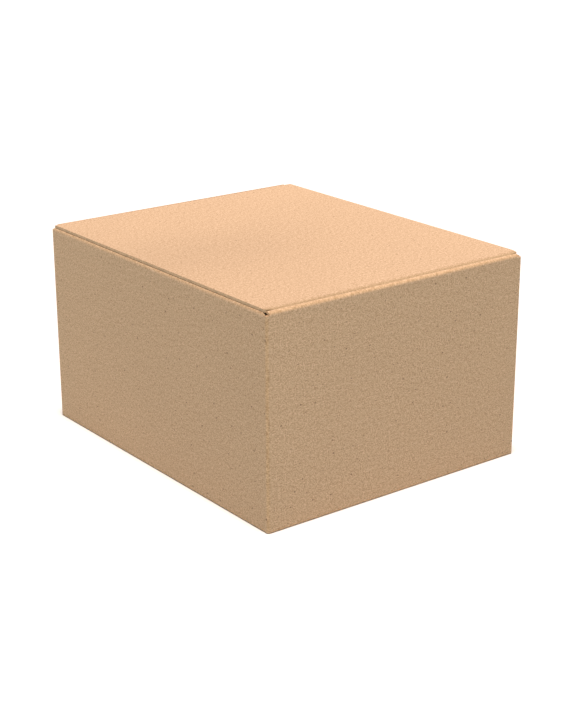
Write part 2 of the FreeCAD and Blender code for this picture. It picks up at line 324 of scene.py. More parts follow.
class Sheet:
    """A closed skin of board over a path, from low to high across it."""

    def __init__(self, mesh, stations, place, low, high, columns, cuts, joined=None, shift=0.0):
        self.mesh = mesh
        self.stations = stations
        self.place = place
        self.low = low
        self.high = high
        self.columns = columns
        self.cuts = cuts
        self.joined = joined or {}
        self.shift = shift

    def across(self, i, j):
        """Place across the sheet of column j at station i."""
        along = self.stations[i].along
        low = self.low(along)
        return low + (self.high(along) - low) * self.columns[j]

    def grid(self, side):
        rows = []
        for i, station in enumerate(self.stations):
            flat = station.outer if side == OUTSIDE else station.inner
            row = []
            for j in range(len(self.columns)):
                across = self.across(i, j)
                co = self.place(flat, across, station, side)
                board_place = (self.shift + across, station.along)
                row.append(self.mesh.point(co, board_place, station.crease))
            rows.append(row)
        for i in range(len(rows) - 1):
            for j in range(len(self.columns) - 1):
                corners = (rows[i][j], rows[i + 1][j], rows[i + 1][j + 1], rows[i][j + 1])
                self.mesh.face(corners, side)
        return rows

    def edge_points(self):
        """Every grid point round the sheet once, with the sides that it lies on."""
        last_i = len(self.stations) - 1
        last_j = len(self.columns) - 1
        walk = [(i, 0, LOW) for i in range(last_i)]
        walk += [(last_i, j, END) for j in range(last_j)]
        walk += [(i, last_j, HIGH) for i in range(last_i, 0, -1)]
        walk += [(0, j, START) for j in range(last_j, 0, -1)]
        return walk

    def inward(self, i, j):
        """How far and which way the raw edge is hollow at a grid point."""
        last_i = len(self.stations) - 1
        last_j = len(self.columns) - 1
        here = self.outer_co(i, j)
        move = Vector((0, 0, 0))
        if j == 0:
            move += (self.outer_co(i, 1) - here).normalized() * self.depth(LOW)
        if j == last_j:
            move += (self.outer_co(i, last_j - 1) - here).normalized() * self.depth(HIGH)
        if i == 0:
            move += (self.outer_co(1, j) - here).normalized() * self.depth(START)
        if i == last_i:
            move += (self.outer_co(last_i - 1, j) - here).normalized() * self.depth(END)
        return move

    def depth(self, side):
        return DEPTHS[self.cuts[side]]

    def outer_co(self, i, j):
        return self.mesh.points[self.outer[i][j]]

    def is_joined(self, side, value):
        if side not in self.joined:
            return False
        low, high = self.joined[side]
        return low - HAIR < value < high + HAIR

    def rim(self):
        """Raw edges: two liners with the hollow between them."""
        walk = self.edge_points()
        ring = []
        for i, j, _ in walk:
            outer = self.outer[i][j]
            inner = self.inner[i][j]
            a = self.mesh.points[outer]
            b = self.mesh.points[inner]
            across = (b - a).normalized() * LINER
            move = self.inward(i, j)
            place = self.mesh.places[outer]
            lips = (a + across, a + across + move, b - across + move, b - across)
            ring.append([outer, *[self.mesh.point(co, place) for co in lips], inner])
        count = len(walk)
        skipped = []
        for k in range(count):
            i, j, side = walk[k]
            following = walk[(k + 1) % count]
            values = (self.running(side, i, j), self.running(side, following[0], following[1]))
            skipped.append(all(self.is_joined(side, value) for value in values))
        for k in range(count):
            if skipped[k]:
                continue
            here = ring[k]
            there = ring[(k + 1) % count]
            for n in range(5):
                slot = OUTSIDE if n == 0 else INSIDE if n == 4 else CUT
                self.mesh.face((here[n], here[n + 1], there[n + 1], there[n]), slot)
            if skipped[k - 1]:
                self.mesh.face(tuple(here), CUT)
            if skipped[(k + 1) % count]:
                self.mesh.face(tuple(reversed(there)), CUT)

    def running(self, side, i, j):
        """The value that a joined range is given in, for a side."""
        return self.stations[i].along if side in (LOW, HIGH) else self.across(i, j)

    def flutes(self, side):
        """The wavy middle paper that shows in a raw edge cut across the flutes."""
        last_i = len(self.stations) - 1
        i = last_i if side == END else 0
        edge = [
            (self.outer_co(i, j), self.mesh.points[self.inner[i][j]])
            for j in range(len(self.columns))
        ]
        before = last_i - 1 if side == END else 1
        low = self.across(i, 0)
        high = self.across(i, len(self.columns) - 1)
        span = abs(high - low)
        inset = 2 * CRUSHED_DEPTH
        count = max(2, int((span - 2 * inset) / FLUTE_PITCH * FLUTE_STEPS))
        swing = BOARD / 2 - LINER - FLUTE_PAPER / 2
        rows = []
        for k in range(count + 1):
            value = low + (high - low) * (inset + (span - 2 * inset) * k / count) / span
            share = (value - low) / (high - low)
            a, b = self.between(edge, share)
            inward = (self.outer_co(before, 0) - self.outer_co(i, 0)).normalized()
            across = (b - a).normalized()
            turn = 2 * math.pi * value / FLUTE_PITCH
            middle = a + (b - a) / 2 + across * (swing * math.cos(turn))
            half = across * (FLUTE_PAPER / 2 * (1 + FLUTE_SLANT * abs(math.sin(turn))))
            back = CRUSHED_DEPTH * (0.5 + 0.5 * noise.noise(Vector((value / FLUTE_PITCH, i, 3.7))))
            top = middle + inward * back
            foot = middle + inward * self.depth(side)
            place = (self.shift + value, self.stations[i].along)
            corners = (top - half, top + half, foot + half, foot - half)
            rows.append([self.mesh.point(co, place) for co in corners])
        for here, there in zip(rows, rows[1:]):
            for n in range(4):
                m = (n + 1) % 4
                self.mesh.face((here[n], here[m], there[m], there[n]), FLUTE)
        self.mesh.face(tuple(rows[0]), FLUTE)
        self.mesh.face(tuple(reversed(rows[-1])), FLUTE)

    def between(self, edge, share):
        """Outer and inner point at a share of the way along an edge, by its columns."""
        for j in range(len(self.columns) - 1):
            if share <= self.columns[j + 1] + 1e-9:
                part = (share - self.columns[j]) / (self.columns[j + 1] - self.columns[j])
                return [edge[j][n].lerp(edge[j + 1][n], part) for n in (0, 1)]
        return edge[-1]

    def build(self):
        self.outer = self.grid(OUTSIDE)
        self.inner = self.grid(INSIDE)
        self.rim()
        for side in (START, END):
            if "flutes" in self.cuts[side]:
                self.flutes(side)


def outline(points):
    """Straight lines through (along, across) points."""

    def at(along):
        for (a0, c0), (a1, c1) in zip(points, points[1:]):
            if along <= a1:
                share = max(0.0, (along - a0) / max(a1 - a0, 1e-9))
                return c0 + (c1 - c0) * share
        return points[-1][1]

    return at


def rounded_tip(line, tip, radius, sign):
    """The outline with its corner at the tip rounded; sign is +1 where the sheet lies above."""

    def at(along):
        reach = along - (tip - radius)
        if reach <= 0:
            return line(along)
        return line(along) + sign * (radius - math.sqrt(max(0.0, radius * radius - reach * reach)))

    return at


def shares(length, step=PANEL_STEP):
    """Columns for a sheet of this length across, as shares."""
    return [value / length for value in spread(0.0, length, step)]


def tip_stations(path, length, radius):
    """A flat run to a rounded tip, with stations that follow the rounding."""
    path.straight(length - radius)
    done = 0.0
    for i in range(1, TIP_STEPS + 1):
        value = radius * math.sin(math.pi / 2 * i / TIP_STEPS)
        last = path.stations[-1]
        move = direction(path.heading) * (value - done)
        path.add(last.outer + move, last.inner + move, value - done)
        done = value


# Walls bow in and the lid sags a little, and a thin noise keeps them from being quite flat
WALL_BOW = 0.45 * MM
PANEL_WAVE = 0.12 * MM
LID_SAG = 0.5 * MM
LID_STIFF_EDGE = 4 * MM
WAVE_LENGTH = 70 * MM


def wall_give(across, across_half, z, seed):
    """How far a wall lies inside its flat plane."""
    side = max(0.0, 1 - (across / across_half) ** 2)
    level = max(0.0, math.sin(math.pi * min(1.0, max(0.0, z / HEIGHT))))
    wave = 0.5 + 0.5 * noise.noise(Vector((across / WAVE_LENGTH, z / WAVE_LENGTH, seed)))
    return side * level * WALL_BOW + PANEL_WAVE * wave * side * level * 2


def side_place(sign):
    """Places a section point of the wall at sign times X, with the way across along Y."""

    def at(flat, across, station, side):
        give = 0.0
        if FOLD_RADIUS < flat.y < DUST_FOLD_START and flat.x <= BOARD + HAIR:
            give = wall_give(across, HALF_DEPTH - FOLD_RADIUS, flat.y, SIDE_WAVE_SEED * sign)
        return Vector((sign * (HALF_WIDTH - flat.x - give), across, flat.y))

    return at


def end_place(sign):
    """Places a section point of the wall at sign times Y, with the way across along X."""

    def at(flat, across, station, side):
        give = 0.0
        if FOLD_RADIUS < flat.y < HINGE_SKIN_FOOT and flat.x <= BOARD + HAIR:
            give = wall_give(across, HALF_WIDTH - FOLD_RADIUS, flat.y, END_WAVE_SEED * sign)
        return Vector((across, sign * (HALF_DEPTH - flat.x - give), flat.y))

    return at


def wall_levels(top):
    """Heights shared by the walls and the corner folds, so that they join."""
    levels = spread(FOLD_RADIUS, HINGE_SKIN_FOOT)
    return levels + [level for level in (DUST_FOLD_START, WALL_TOP) if level <= top + HAIR]


def climb(path, levels):
    """Carries a path straight up through the given heights."""
    last = path.stations[-1]
    low = last.outer.y
    done = low
    for level in levels:
        if level <= low + HAIR:
            continue
        up = Vector((0, level - low))
        path.add(last.outer + up, last.inner + up, level - done)
        done = level


# How strongly the fold of a dust flap is darkened by painted shade, as a share of the painted shade
# tint
DUST_FOLD_SHADE = 0.65


def side_wall(mesh, sign):
    """Outer base flap, long wall and dust flap in one strip."""
    base_length = HALF_WIDTH - BASE_SEAM / 2
    path = SheetPath(Vector((base_length, 0)), 180)
    path.straight(base_length - FOLD_RADIUS)
    base_root = path.here()
    path.fold(90, FOLD_INSIDE, square=FOOT_SQUARE)
    wall_start = path.here()
    climb(path, wall_levels(DUST_FOLD_START))
    wall_end = path.here()
    # Painted shade on the dust flap's fold, where the lid's edge shades it
    path.fold(90, FOLD_INSIDE, crease=-DUST_FOLD_SHADE)
    dust_root = path.here()
    path.straight(FLAP_ROOT, SUPPORT)
    tip_stations(path, DUST_LENGTH - FOLD_RADIUS - FLAP_ROOT, DUST_CORNER_RADIUS)
    dust_tip = path.here()

    slot = HALF_DEPTH - FOLD_SLOT
    corner = HALF_DEPTH - FOLD_RADIUS
    base_end = HALF_DEPTH - FOLD_RADIUS - BASE_STEP_RUN - BASE_END_CLEARANCE
    relief = SHOULDER_END + DUST_RELIEF
    hinge_rise = math.tan(math.radians(DUST_HINGE_TAPER)) * DUST_LENGTH
    notch = 2 * BOARD + TUCK_CLEARANCE + DUST_NOTCH_CLEARANCE
    tuck_drop = math.tan(math.radians(DUST_TUCK_TAPER)) * DUST_LENGTH
    fold_middle = (wall_end + dust_root) / 2
    low = outline([
        (0, -base_end),
        (base_root, -base_end),
        (base_root + FOOT_TURN, -slot),
        (wall_start - HAIR, -slot),
        (wall_start, -corner),
        (wall_end, -corner),
        (wall_end + HAIR, -slot),
        (fold_middle, -slot),
        (dust_root, -HALF_DEPTH + relief),
        (dust_tip, -HALF_DEPTH + relief + hinge_rise),
    ])
    wall_far = HALF_DEPTH - TAB_SETBACK if sign > 0 else corner
    high = outline([
        (0, base_end),
        (base_root, base_end),
        (base_root + FOOT_TURN, slot),
        (wall_start - HAIR, slot),
        (wall_start, wall_far),
        (wall_end, wall_far),
        (wall_end + HAIR, slot),
        (dust_root, slot),
        (dust_root + DUST_NOTCH_RUN, HALF_DEPTH - notch),
        (dust_tip, HALF_DEPTH - notch - tuck_drop),
    ])
    joined = {LOW: (wall_start, wall_end)}
    if sign < 0:
        joined[HIGH] = (wall_start, wall_end)
    Sheet(
        mesh,
        path.stations,
        side_place(sign),
        rounded_tip(low, dust_tip, DUST_CORNER_RADIUS, 1),
        rounded_tip(high, dust_tip, DUST_CORNER_RADIUS, -1),
        shares(2 * HALF_DEPTH),
        {START: "flutes", END: "flutes", LOW: "crushed", HIGH: "crushed"},
        joined,
        shift=SIDE_WALL_SHIFT * sign,
    ).build()


def base_inner_path():
    """Inner base flap and its fold, up to where the wall starts."""
    path = SheetPath(Vector((BASE_INNER_LENGTH, BOARD)), 180)
    path.straight(BASE_INNER_LENGTH - BASE_STEP_RUN - FOLD_RADIUS)
    path.step(BASE_STEP_RUN, -BOARD, -BOARD)
    path.fold(90, FOLD_INSIDE, square=FOOT_SQUARE)
    return path


def hinge_wall(mesh):
    """Inner base flap and short wall below the hinge fold."""
    path = base_inner_path()
    wall_start = path.here()
    climb(path, wall_levels(HINGE_SKIN_FOOT))
    slot = HALF_WIDTH - FOLD_SLOT
    corner = HALF_WIDTH - FOLD_RADIUS
    wall_end = path.here()
    half = outline([(0, slot), (wall_start - HAIR, slot), (wall_start, corner), (wall_end, corner)])
    Sheet(
        mesh,
        path.stations,
        end_place(-1),
        lambda along: -half(along),
        half,
        shares(2 * HALF_WIDTH),
        {START: "flutes", END: "flush", LOW: "crushed", HIGH: "crushed"},
        {LOW: (wall_start, wall_end), HIGH: (wall_start, wall_end)},
    ).build()


def tuck_wall(mesh):
    """Inner base flap and short wall with a raw top edge that slopes down at both corners."""
    path = base_inner_path()
    wall_start = path.here()
    climb(path, wall_levels(WALL_TOP))
    wall_end = path.here()
    path.straight(HEIGHT - TUCK_WALL_DROP - WALL_TOP, TOP_EDGE_STEP)
    top = path.here()
    slot = HALF_WIDTH - FOLD_SLOT
    corner = HALF_WIDTH - FOLD_RADIUS
    peak = corner - TUCK_WALL_CORNER_RUN
    low, high = [
        outline([
            (0, slot),
            (wall_start - HAIR, slot),
            (wall_start, root),
            (wall_end, root),
            (top, peak),
        ])
        for root in (corner, corner - BOARD)
    ]
    Sheet(
        mesh,
        path.stations,
        end_place(1),
        lambda along: -low(along),
        high,
        shares(2 * HALF_WIDTH),
        {START: "flutes", END: "worn flutes", LOW: "crushed", HIGH: "crushed"},
        {LOW: (wall_start, wall_end), HIGH: (wall_start, wall_end)},
        shift=TUCK_WALL_SHIFT,
    ).build()


def plan_place(flat, across, station, side):
    """Places a plan point at a height."""
    return Vector((flat.x, flat.y, across))


def corner_columns():
    """Shares of the way up a vertical fold, at the heights of the walls beside it."""
    levels = [BASE_CORNER_LIFT, *wall_levels(WALL_TOP)]
    span = WALL_TOP - BASE_CORNER_LIFT
    return [(level - BASE_CORNER_LIFT) / span for level in levels]


def corner_fold(mesh, start, heading, first_top, last_top):
    """A vertical fold between two walls, in plan, with its raw ends."""
    path = SheetPath(start, heading)
    path.fold(90, FOLD_INSIDE)
    Sheet(
        mesh,
        path.stations,
        plan_place,
        lambda along: BASE_CORNER_LIFT,
        lambda along: WALL_TOP,
        corner_columns(),
        {START: "flush", END: "flush", LOW: "crushed", HIGH: "crushed"},
        {START: (FOLD_RADIUS, first_top), END: (FOLD_RADIUS, last_top)},
        shift=CORNER_SHIFT,
    ).build()


def glued_tab(mesh):
    """The last vertical fold with the tab that is glued inside the wall at +X."""
    path = SheetPath(Vector((HALF_WIDTH - BOARD - FOLD_RADIUS, HALF_DEPTH)), 0)
    path.fold(90, FOLD_INSIDE)
    fold_end = path.here()
    path.straight(TAB_WIDTH)
    tab_end = path.here()
    rise = TAB_END_CLEARANCE + TAB_END_TAPER
    low = outline([
        (0, BASE_CORNER_LIFT),
        (fold_end, BASE_CORNER_LIFT),
        (fold_end + HAIR, BASE_CORNER_LIFT + TAB_END_CLEARANCE),
        (tab_end, BASE_CORNER_LIFT + rise),
    ])
    high = outline([
        (0, WALL_TOP),
        (fold_end, WALL_TOP),
        (fold_end + HAIR, WALL_TOP - TAB_END_CLEARANCE),
        (tab_end, WALL_TOP - rise),
    ])

    def place(flat, across, station, side):
        gap = HAIR if flat.y < HALF_DEPTH - FOLD_RADIUS else 0.0
        return Vector((flat.x - gap, flat.y, across))

    Sheet(
        mesh,
        path.stations,
        place,
        low,
        high,
        corner_columns(),
        {START: "flush", END: "crushed", LOW: "crushed", HIGH: "crushed"},
        {START: (FOLD_RADIUS, WALL_TOP)},
        shift=TAB_SHIFT,
    ).build()


def carton_look(materials):
    """The folded sheet without the lid and its hinge fold."""
    mesh = Mesh()
    side_wall(mesh, 1)
    side_wall(mesh, -1)
    hinge_wall(mesh)
    tuck_wall(mesh)
    near_y = -HALF_DEPTH + FOLD_RADIUS
    corner_fold(mesh, Vector((HALF_WIDTH, near_y)), -90, DUST_FOLD_START, HINGE_SKIN_FOOT)
    left_x = -HALF_WIDTH + FOLD_RADIUS
    corner_fold(mesh, Vector((left_x, -HALF_DEPTH)), 180, HINGE_SKIN_FOOT, DUST_FOLD_START)
    far_y = HALF_DEPTH - FOLD_RADIUS
    corner_fold(mesh, Vector((-HALF_WIDTH, far_y)), 90, DUST_FOLD_START, WALL_TOP)
    glued_tab(mesh)
    made = mesh.finish("carton_look", materials, weld=True)
    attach(made, "carton")
    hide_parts("carton_body")


# The hinge fold varies along its length
HINGE_WAVE_START = 0.4 * HINGE_RADIUS
BEAD_WAVE = 0.12 * MM
BEAD_WIDTH = 1.1 * MM
BEAD_PLACE = 0.95 * HINGE_RADIUS
GROOVE_WAVE = 0.3 * MM
GROOVE_WIDTH = 1.0 * MM
GROOVE_PLACE = HINGE_RADIUS + GROOVE_RUN
LONG_WAVE = 22 * MM
SHORT_WAVE = 5 * MM
HINGE_END_RUN = (14 * MM, 3 * MM)
CORNER_LIFT = 0.8
FAR_CORNER_LIFT = 0.45


def hinge_place(flat, across, station, side):
    """Places a section point of the hinge, with its bead and groove uneven along the fold."""
    z = flat.y
    inward = flat.x
    run_start, run_end = HINGE_END_RUN
    end_share = 1 - smooth(HALF_WIDTH - run_start, HALF_WIDTH - run_end, abs(across))
    if side == OUTSIDE and HINGE_WAVE_START < inward < SHOULDER_END:
        along_noise = noise.noise(Vector((across / LONG_WAVE, 0.4, 2.0)))
        fine_noise = noise.noise(Vector((across / SHORT_WAVE, 7.4, 1.0)))
        near_bead = math.exp(-(((inward - BEAD_PLACE) / BEAD_WIDTH) ** 2))
        near_groove = math.exp(-(((inward - GROOVE_PLACE) / GROOVE_WIDTH) ** 2))
        z += BEAD_WAVE * near_bead * (along_noise + 0.4 * fine_noise)
        z -= GROOVE_WAVE * near_groove * (0.5 + along_noise + 0.5 * fine_noise) * end_share
    if GROOVE_PLACE - HAIR < inward < SHOULDER_END:
        flat_z = HEIGHT if side == OUTSIDE else HEIGHT - BOARD
        lift = CORNER_LIFT if across < 0 else FAR_CORNER_LIFT
        z += (flat_z - flat.y) * lift * (1 - end_share)
    return Vector((across, -HALF_DEPTH + inward, z))


# The painted shade in the groove behind the bead darkens over the first run and fades over the second
PAINTED_SHADE_RISE = (HINGE_RADIUS - 0.4 * MM, HINGE_RADIUS + 1.4 * MM)
PAINTED_SHADE_FADE = (HINGE_RADIUS + 1.8 * MM, SHOULDER_END - 1.0 * MM)


def painted_groove_shade(inward):
    """How dark the painted shade in the groove behind the bead is, by the way in from the wall."""
    return smooth(*PAINTED_SHADE_RISE, inward) * (1 - smooth(*PAINTED_SHADE_FADE, inward))


def hinge_look(materials):
    """The skin over the hinge fold, from the top of the wall into the lid."""
    mesh = Mesh()
    path = SheetPath(Vector((0, HINGE_SKIN_FOOT)), 90, along=HINGE_SKIN_FOOT)
    path.straight(HINGE_FOLD_START - HINGE_SKIN_FOOT, HINGE_STEP)
    fold_start = path.here()
    path.fold(90, HINGE_INSIDE)
    path.step(GROOVE_RUN, GROOVE_DEPTH, 0)
    groove = path.here()
    path.step(SHOULDER_RUN, -GROOVE_DEPTH - BEAD_DROP, -BEAD_DROP)
    # Painted shade over the groove and shoulder behind the bead
    for station in path.stations:
        if station.along > groove - GROOVE_RUN:
            station.crease = -painted_groove_shade(station.outer.x)
    path.straight(HINGE_SKIN_END - SHOULDER_END, HINGE_LID_STEP)
    end = path.here()
    corner = HALF_WIDTH - FOLD_RADIUS
    wide = HALF_WIDTH - LID_SIDE_INSET
    bevel = 0.3 * LID_CORNER_RADIUS

    def edge(slot):
        return outline([
            (HINGE_SKIN_FOOT, corner),
            (fold_start, corner),
            (fold_start + HAIR, HALF_WIDTH - slot),
            (groove, HALF_WIDTH - slot),
            (groove + HAIR, wide - LID_CORNER_RADIUS),
            (groove + bevel, wide - bevel),
            (groove + LID_CORNER_RADIUS, wide),
            (end, wide),
        ])

    near = edge(FOLD_SLOT)
    Sheet(
        mesh,
        path.stations,
        hinge_place,
        lambda along: -near(along),
        edge(FAR_HINGE_SLOT),
        shares(2 * HALF_WIDTH, HINGE_COLUMN_STEP),
        {START: "flush", END: "flush", LOW: "crushed", HIGH: "crushed"},
    ).build()
    made = mesh.finish("hinge_fold_look", materials, weld=False)
    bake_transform(made)


def lid_place(flat, across, station, side):
    """Places a section point of the lid, which sags a little in its middle."""
    y = -HALF_DEPTH + flat.x
    z = flat.y
    if z > HEIGHT - BOARD - HAIR:
        reach = max(0.0, 1 - (across / (HALF_WIDTH - LID_STIFF_EDGE)) ** 2)
        start = -HALF_DEPTH + HINGE_SKIN_END
        share = min(1.0, max(0.0, (y - start) / (HALF_DEPTH - FOLD_RADIUS - BOARD - start)))
        length = math.sin(math.pi * share)
        wave = 0.5 + 0.5 * noise.noise(Vector((across / WAVE_LENGTH, y / WAVE_LENGTH, LID_WAVE_SEED)))
        z -= (LID_SAG + PANEL_WAVE * wave * 3) * reach * length
    return Vector((across, y, z))


def lid_look(materials):
    """The lid panel from its hinge fold to the tip of its tuck flap."""
    mesh = Mesh()
    path = SheetPath(Vector((HINGE_SKIN_END, HEIGHT)), 0, along=HEIGHT + HINGE_SKIN_END)
    tuck_face = 2 * HALF_DEPTH - BOARD - TUCK_CLEARANCE
    path.straight(tuck_face - FOLD_RADIUS - HINGE_SKIN_END)
    fold_start = path.here()
    path.fold(90 + TUCK_LEAN, FOLD_INSIDE)
    tuck_root = path.here()
    path.straight(FLAP_ROOT, SUPPORT)
    tip_stations(path, TUCK_LENGTH - FLAP_ROOT, TUCK_CORNER_RADIUS)
    tip = path.here()
    wide = HALF_WIDTH - LID_SIDE_INSET
    root = HALF_WIDTH - TUCK_END_INSET
    notch = fold_start + (tuck_root - fold_start) * TUCK_NOTCH_SHARE
    half = outline([(0, wide), (notch, wide), (tuck_root, root), (tip, root - TUCK_TAPER)])
    half = rounded_tip(half, tip, TUCK_CORNER_RADIUS, -1)
    Sheet(
        mesh,
        path.stations,
        lid_place,
        lambda along: -half(along),
        half,
        shares(2 * HALF_WIDTH),
        {START: "flush", END: "flutes", LOW: "crushed", HIGH: "crushed"},
    ).build()
    made = mesh.finish("lid_look", materials, weld=False)
    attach(made, "lid")
    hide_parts("top_lid")


class Graph:
    """Short hand for a material's nodes."""

    def __init__(self, name):
        self.material = bpy.data.materials.new(name)
        self.material.use_nodes = True
        self.tree = self.material.node_tree
        self.shader = self.tree.nodes["Principled BSDF"]

    def node(self, kind, **settings):
        made = self.tree.nodes.new(kind)
        for key, value in settings.items():
            setattr(made, key, value)
        return made

    def link(self, source, target):
        self.tree.links.new(source, target)

    def board_place(self, stretch=(1, 1, 1), offset=(0, 0, 0)):
        uv = self.node("ShaderNodeUVMap", uv_map="board")
        mapping = self.node("ShaderNodeMapping")
        mapping.inputs["Scale"].default_value = stretch
        mapping.inputs["Location"].default_value = offset
        self.link(uv.outputs["UV"], mapping.inputs["Vector"])
        return mapping.outputs["Vector"]

    def noise(self, place, size, detail=2.0, roughness=0.5):
        """Noise whose grain is about size metres."""
        made = self.node("ShaderNodeTexNoise")
        made.inputs["Scale"].default_value = 1 / size
        made.inputs["Detail"].default_value = detail
        made.inputs["Roughness"].default_value = roughness
        self.link(place, made.inputs["Vector"])
        return made.outputs["Fac"]

    def spread(self, value, low, high, to_low=0.0, to_high=1.0):
        made = self.node("ShaderNodeMapRange")
        made.inputs["From Min"].default_value = low
        made.inputs["From Max"].default_value = high
        made.inputs["To Min"].default_value = to_low
        made.inputs["To Max"].default_value = to_high
        self.link(value, made.inputs["Value"])
        return made.outputs["Result"]

    def math(self, operation, first, second):
        made = self.node("ShaderNodeMath", operation=operation)
        for socket, value in zip(made.inputs, (first, second)):
            if isinstance(value, (int, float)):
                socket.default_value = value
            else:
                self.link(value, socket)
        return made.outputs["Value"]

    def mix(self, share, first, second):
        """Colour mix; colours are sockets or tuples."""
        made = self.node("ShaderNodeMix", data_type="RGBA")
        for name, value in (("A", first), ("B", second)):
            socket = next(s for s in made.inputs if s.name == name and s.type == "RGBA")
            if isinstance(value, tuple):
                socket.default_value = (*value, 1.0)
            else:
                self.link(value, socket)
        if isinstance(share, (int, float)):
            made.inputs["Factor"].default_value = share
        else:
            self.link(share, made.inputs["Factor"])
        return next(s for s in made.outputs if s.type == "RGBA")

    def tinted(self, colour, share, tint):
        """Colour times a tint, by a share."""
        made = self.node("ShaderNodeMix", data_type="RGBA", blend_type="MULTIPLY")
        sockets = [socket for socket in made.inputs if socket.type == "RGBA"]
        self.link(colour, sockets[0])
        sockets[1].default_value = (*tint, 1.0)
        self.link(share, made.inputs["Factor"])
        return next(s for s in made.outputs if s.type == "RGBA")

    def scaled(self, colour, amount):
        """Colour times a grey amount."""
        made = self.node("ShaderNodeVectorMath", operation="SCALE")
        self.link(colour, made.inputs[0])
        self.link(amount, made.inputs["Scale"])
        return made.outputs["Vector"]


# Colours of the paper, its flecks and its raw edges, and tints for painted highlight with a little wear
# on folds and for painted shade in the hinge groove and dust-flap folds
KRAFT_DEEP = (0.403, 0.265, 0.151)
KRAFT_PALE = (0.679, 0.493, 0.331)
FLECK_DARK = (0.155, 0.096, 0.055)
FLECK_PALE = (0.740, 0.560, 0.400)
# Folds are lighter: painted highlight, with a little wear
FOLD_HIGHLIGHT_AND_WEAR_TINT = (1.06, 1.02, 0.93)
# Tint of the painted shade in the hinge groove and on the dust-flap folds
PAINTED_SHADE_TINT = (0.74, 0.735, 0.655)
CUT_COLOUR = (0.72, 0.505, 0.320)
CUT_DEEP = (0.56, 0.385, 0.240)
FLUTE_COLOUR = (0.68, 0.475, 0.300)
FLUTE_DEEP = (0.53, 0.365, 0.225)

# The middle of a noise, which holds nearly all of its values
MIDDLE = (0.3, 0.7)

# Grain sizes of the paper in metres, and each fleck's spacing and size
BROAD_GRAIN = 120 * MM
STREAK_GRAIN = 6 * MM
MOTTLE_GRAIN = 3 * MM
FIBRE_GRAIN = 0.9 * MM
CUT_PATCH = 7 * MM
LARGE_FLECKS = (13 * MM, 0.8 * MM)
SMALL_FLECKS = (7.4 * MM, 0.6 * MM)
PALE_FLECKS = (4 * MM, 0.4 * MM)
PALE_DEPTH = 0.4
STREAK_STRETCH = (0.12, 1, 1)
FLECK_STRETCH = (0.7, 1, 1)


def flecks(g, place, cell, largest):
    """Mask of separate specks, about one in each cell, none wider than twice largest."""
    made = g.node("ShaderNodeTexVoronoi", voronoi_dimensions="2D", feature="F1")
    made.inputs["Scale"].default_value = 1 / cell
    g.link(place, made.inputs["Vector"])
    reach = g.spread(made.outputs["Color"], 0.35, 0.85, 0.0, largest / cell)
    rest = g.math("SUBTRACT", made.outputs["Distance"], reach)
    return g.spread(rest, -0.4 * largest / cell, 0.0, 1.0, 0.0)


def kraft_paper(name, seed, tone, grain_size, fineness, fleck_depth):
    """Unbleached paper: mottled ground, soft streaks, dark and pale flecks and a fine grain, with
    painted light and shade over faces and folds.
    """
    g = Graph(name)
    place = g.board_place(offset=(seed, seed * 0.7, 0))
    streak_place = g.board_place(stretch=STREAK_STRETCH, offset=(seed, seed, 0))
    fleck_place = g.board_place(stretch=FLECK_STRETCH, offset=(seed + 3, seed + 5, 0))
    broad = g.noise(place, BROAD_GRAIN, 2.0)
    mottle = g.noise(place, MOTTLE_GRAIN, 3.0, 0.75)
    grain = g.noise(place, grain_size, 1.0, 0.6)
    streak = g.noise(streak_place, STREAK_GRAIN, 2.0, 0.5)
    coarse = g.spread(mottle, *MIDDLE, -0.1 + 0.5 * fineness, 0.6 - 0.5 * fineness)
    fine = g.spread(grain, *MIDDLE, -0.1 - fineness, 0.6 + fineness)
    share = g.math("ADD", coarse, fine)
    ground = g.mix(share, KRAFT_DEEP, KRAFT_PALE)
    patches = g.spread(broad, *MIDDLE, -0.012, 0.012)
    streaks = g.spread(streak, *MIDDLE, -0.015, 0.015)
    level = g.math("ADD", patches, streaks)
    # The tone attribute darkens or lightens the paper: painted light and shade
    face = g.node("ShaderNodeAttribute", attribute_name="tone").outputs["Fac"]
    ground = g.scaled(ground, g.math("MULTIPLY", face, g.math("ADD", level, tone)))
    dark = g.math("MAXIMUM", flecks(g, fleck_place, *LARGE_FLECKS), flecks(g, place, *SMALL_FLECKS))
    ground = g.mix(g.math("MULTIPLY", dark, fleck_depth), ground, FLECK_DARK)
    pale = flecks(g, streak_place, *PALE_FLECKS)
    ground = g.mix(g.math("MULTIPLY", pale, PALE_DEPTH), ground, FLECK_PALE)
    crease = g.node("ShaderNodeAttribute", attribute_name="crease").outputs["Fac"]
    # Folds lighter: painted highlight with a little wear
    ground = g.tinted(ground, g.spread(crease, 0.1, 1.0), FOLD_HIGHLIGHT_AND_WEAR_TINT)
    # Painted shade in the hinge groove and on the dust-flap folds
    ground = g.tinted(ground, g.spread(crease, -0.05, -1.0), PAINTED_SHADE_TINT)
    g.link(ground, g.shader.inputs["Base Color"])
    rough = g.spread(mottle, *MIDDLE, 0.84, 0.94)
    g.link(rough, g.shader.inputs["Roughness"])
    g.shader.inputs["Specular IOR Level"].default_value = 0.2
    bump = g.node("ShaderNodeBump")
    bump.inputs["Strength"].default_value = 0.2
    bump.inputs["Distance"].default_value = 0.1 * MM
    g.link(mottle, bump.inputs["Height"])
    g.link(bump.outputs["Normal"], g.shader.inputs["Normal"])
    return g.material


